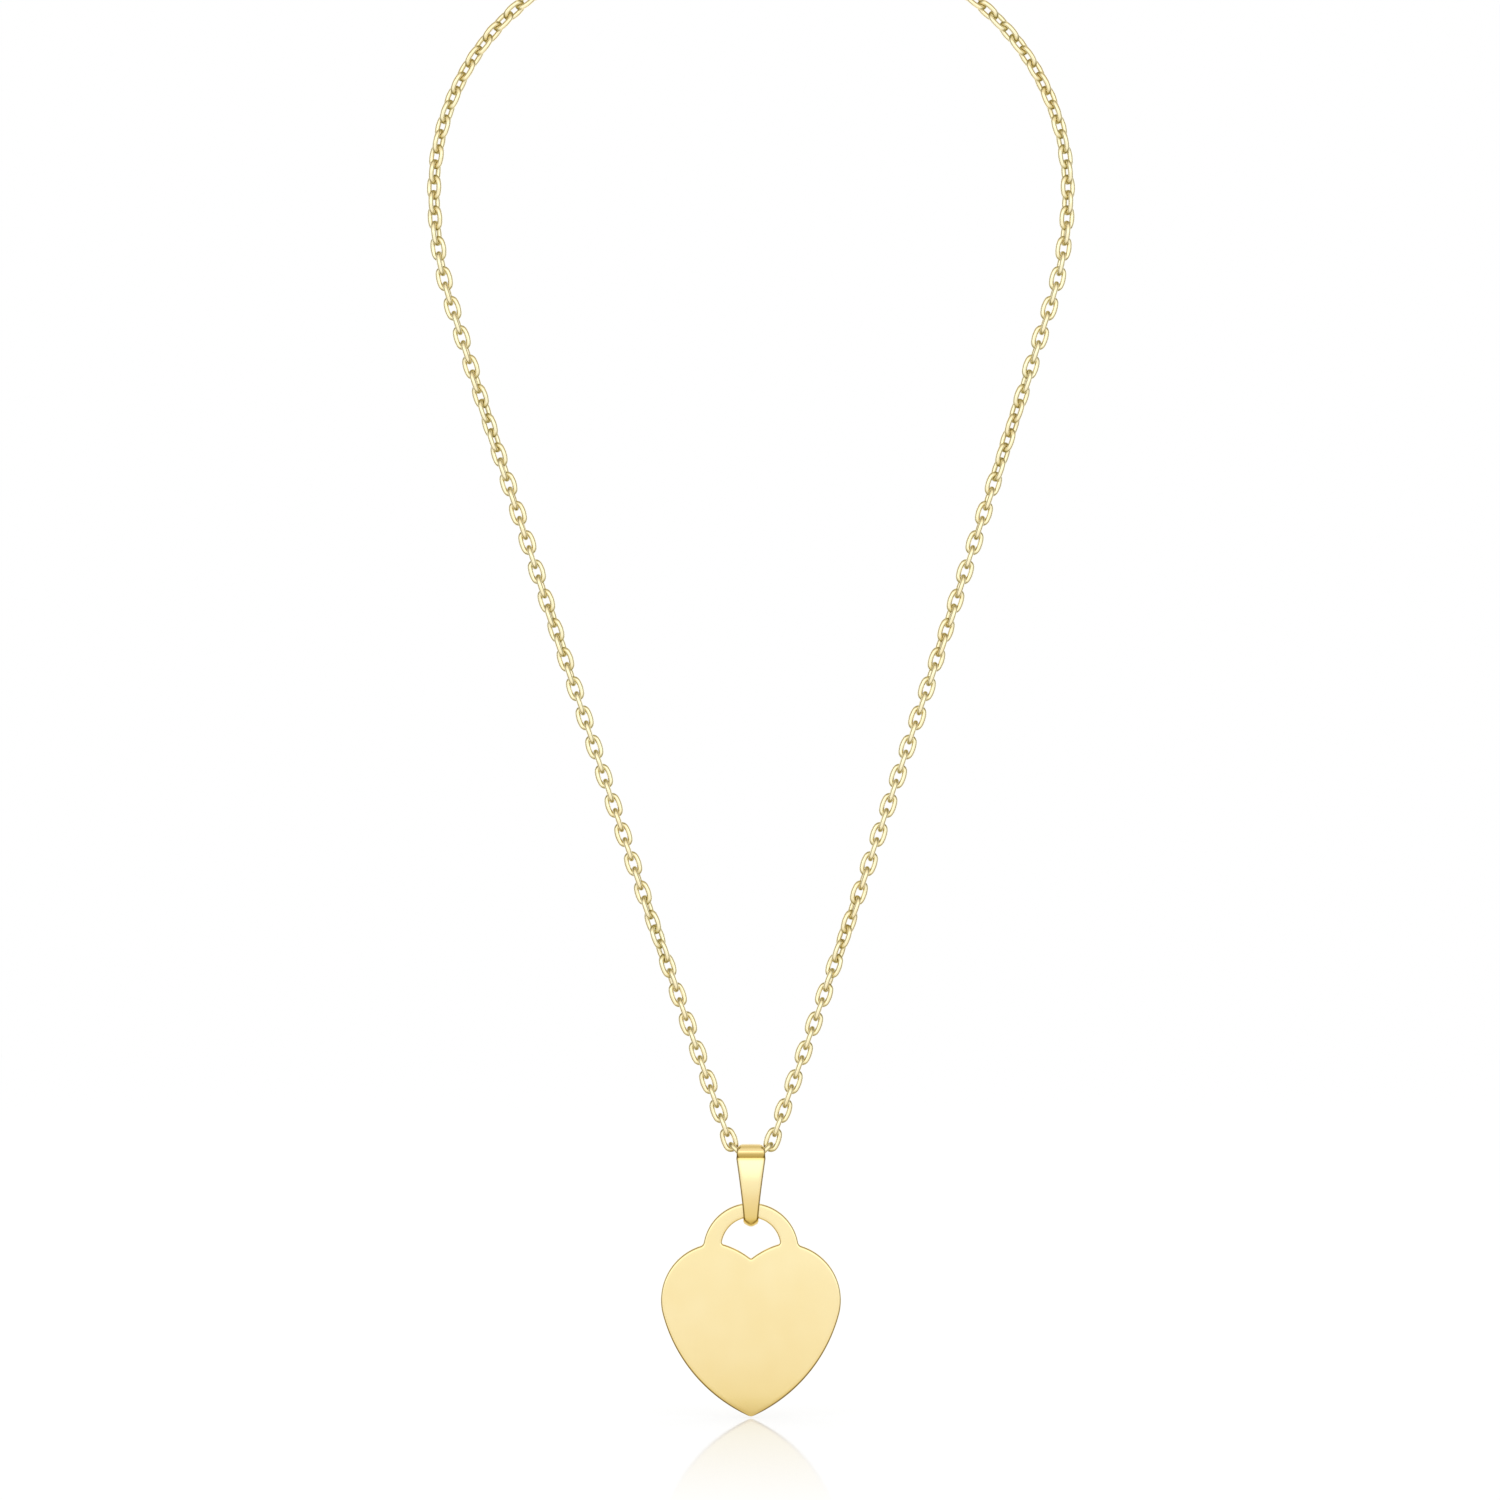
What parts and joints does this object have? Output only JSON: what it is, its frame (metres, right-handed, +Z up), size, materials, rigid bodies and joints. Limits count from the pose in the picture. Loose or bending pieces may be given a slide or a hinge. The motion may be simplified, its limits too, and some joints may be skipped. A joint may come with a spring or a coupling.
{
  "type": "pendant necklace",
  "caption": "Fine cable-chain necklace in a closed loop, with a flat heart plate hung by its arch from a tapering folded bail, and a lobster clasp.",
  "frame": {"origin": "top of the chain loop, in the middle of the clasp, where the necklace is held", "axes": "+Z up along the hanging loop, +X to the right across the heart, +Y to the back of the heart"},
  "size_m": [0.0972, 0.005, 0.224],
  "materials": {
    "heart_gold": "polished pale gold plate with a faint satin",
    "bail_gold": "polished pale gold plate",
    "chain_gold": "polished pale gold plate",
    "clasp_gold": "polished pale gold plate, cast grain in the hollows",
    "ring_gold": "polished pale gold plate, drawn wire",
    "spring_steel": "bright drawn spring wire"
  },
  "bodies": {
    "root": {"chain_left_1": "chain_gold", "chain_right_1": "chain_gold", "jump_ring": "ring_gold", "closure_ring": "ring_gold"},
    "clasp": {"clasp_body": "clasp_gold", "clasp_rivet": "clasp_gold", "clasp_spring": "spring_steel"},
    "trigger": {"clasp_trigger": "clasp_gold"},
    "run_2": {"chain_left_2": "chain_gold", "chain_right_2": "chain_gold"},
    "run_3": {"chain_left_3": "chain_gold", "chain_right_3": "chain_gold"},
    "run_4": {"chain_left_4": "chain_gold", "chain_right_4": "chain_gold"},
    "run_5": {"chain_left_5": "chain_gold", "chain_right_5": "chain_gold"},
    "run_6": {"chain_left_6": "chain_gold", "chain_right_6": "chain_gold", "centre_link": "chain_gold"},
    "bail": {"bail": "bail_gold"},
    "heart": {"heart": "heart_gold"}
  },
  "joints": [
    {"name": "clasp_roll", "type": "hinge", "parent": "root", "child": "clasp", "pos_m": [0, 0, 0], "axis": [1, 0, 0], "range_deg": [-25, 25]},
    {"name": "trigger_press", "type": "hinge", "parent": "clasp", "child": "trigger", "pos_m": [-0.00185, 0, 0.0013], "axis": [0, 1, 0], "range_deg": [0, 25], "stiffness_Nm_per_rad": 0.002, "springref_deg": -17.19},
    {"name": "chain_fold_1", "type": "hinge", "parent": "root", "child": "run_2", "pos_m": [0, 0, -0.05644], "axis": [1, 0, 0], "range_deg": [-20, 20]},
    {"name": "chain_fold_2", "type": "hinge", "parent": "run_2", "child": "run_3", "pos_m": [0, 0, -0.09157], "axis": [1, 0, 0], "range_deg": [-30, 30]},
    {"name": "chain_fold_3", "type": "hinge", "parent": "run_3", "child": "run_4", "pos_m": [0, 0, -0.11787], "axis": [1, 0, 0], "range_deg": [-30, 30]},
    {"name": "chain_fold_4", "type": "hinge", "parent": "run_4", "child": "run_5", "pos_m": [0, 0, -0.13537], "axis": [1, 0, 0], "range_deg": [-30, 30]},
    {"name": "chain_fold_5", "type": "hinge", "parent": "run_5", "child": "run_6", "pos_m": [0, 0, -0.16373], "axis": [1, 0, 0], "range_deg": [-30, 30]},
    {"name": "bail_swing", "type": "hinge", "parent": "run_6", "child": "bail", "pos_m": [0, 0, -0.18232], "axis": [1, 0, 0], "range_deg": [-30, 30]},
    {"name": "heart_sway", "type": "hinge", "parent": "bail", "child": "heart", "pos_m": [0, 0, -0.19573], "axis": [0, 1, 0], "range_deg": [-50, 50]}
  ]
}
